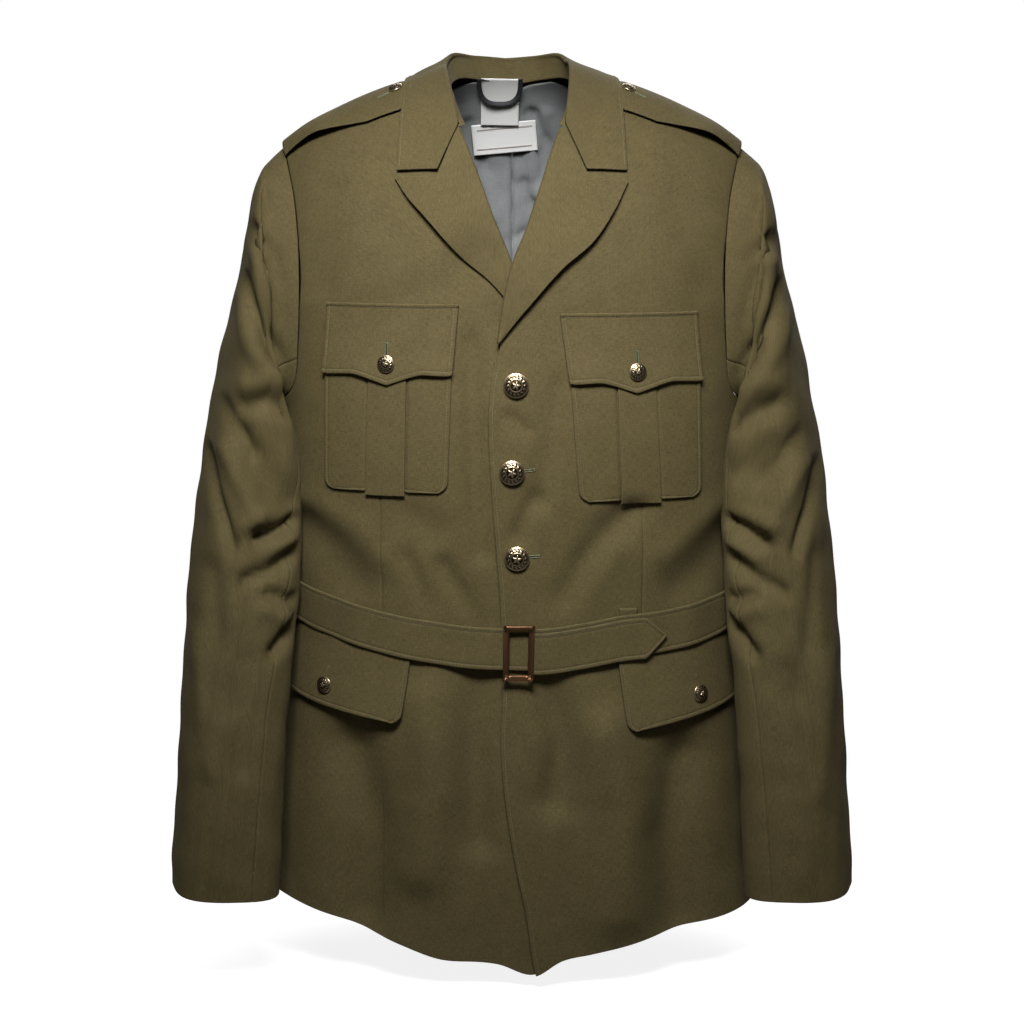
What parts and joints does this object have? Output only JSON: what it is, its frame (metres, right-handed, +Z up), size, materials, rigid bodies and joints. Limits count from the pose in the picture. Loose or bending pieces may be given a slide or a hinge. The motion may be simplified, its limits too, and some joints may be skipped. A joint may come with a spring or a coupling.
{
  "type": "military dress tunic, belted and single-breasted, worn shape with no wearer",
  "caption": "Belted wool dress tunic with peaked lapels, shoulder straps, flapped chest and side pockets and metal buttons, filled out as when worn.",
  "frame": {"origin": "between the shoulders at the neck, on the line of the shoulder ridges, where the wearer's shoulders hold the coat up", "axes": "+Z up, -Y out of the front, +X to the wearer's left"},
  "size_m": [0.648, 0.2796, 0.8518],
  "materials": {
    "wool": "matt olive worsted serge",
    "lining_satin": "grey satin lining",
    "label_cloth": "plain white woven label",
    "loop_tape": "charcoal woven tape",
    "button_brass": "antique brass, satin with darker hollows",
    "buckle_bronze": "bronzed metal with worn copper edges"
  },
  "bodies": {
    "root": {"back_left": "wool", "back_right": "wool", "belt": "wool", "belt_end": "wool", "belt_loop": "wool", "buckle": "buckle_bronze", "care_label": "label_cloth", "chest_button_left": "button_brass", "chest_button_right": "button_brass", "chest_flap_left": "wool", "chest_flap_right": "wool", "chest_pocket_left": "wool", "chest_pocket_right": "wool", "collar_fall": "wool", "collar_stand": "wool", "epaulette_button_left": "button_brass", "epaulette_button_right": "button_brass", "epaulette_left": "wool", "epaulette_right": "wool", "front_button_1": "button_brass", "front_button_2": "button_brass", "front_button_3": "button_brass", "front_left": "wool", "front_right": "wool", "hanger_loop": "loop_tape", "lapel_left": "wool", "lapel_right": "wool", "lining_left": "lining_satin", "lining_right": "lining_satin", "lower_button_left": "button_brass", "lower_button_right": "button_brass", "lower_flap_left": "wool", "lower_flap_right": "wool", "main_label": "label_cloth", "sleeve_top_left": "wool", "sleeve_top_right": "wool", "sleeve_under_left": "wool", "sleeve_under_right": "wool"}
  },
  "joints": []
}
